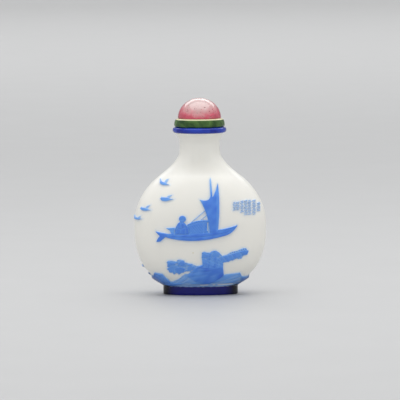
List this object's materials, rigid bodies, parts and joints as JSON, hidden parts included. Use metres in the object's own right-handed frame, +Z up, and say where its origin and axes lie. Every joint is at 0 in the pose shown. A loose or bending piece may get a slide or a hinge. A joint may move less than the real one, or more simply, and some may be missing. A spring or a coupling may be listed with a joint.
{
  "type": "snuff bottle",
  "caption": "Flattened round glass snuff bottle with carved blue overlay over milk white, an oval foot, and a domed pink stopper on a green collar.",
  "frame": {"origin": "centre of the oval foot's underside, on the surface the bottle stands on", "axes": "+Z up through the neck and stopper; the carved boat scene faces -Y; +X is to the right of someone looking at that face"},
  "size_m": [0.0472, 0.0283, 0.07],
  "materials": {
    "overlay_glass": "opaque milk-white glass with carved, softly polished blue overlay, a blue lip and a dark blue foot",
    "green_glass": "polished dark green glass, opaque",
    "pink_stone": "polished clear pink tourmaline with flaws inside",
    "cork": "bare cork"
  },
  "bodies": {
    "root": {"bottle": "overlay_glass", "stopper_collar": "green_glass", "stopper_dome": "pink_stone", "stopper_cork": "cork"}
  },
  "joints": []
}
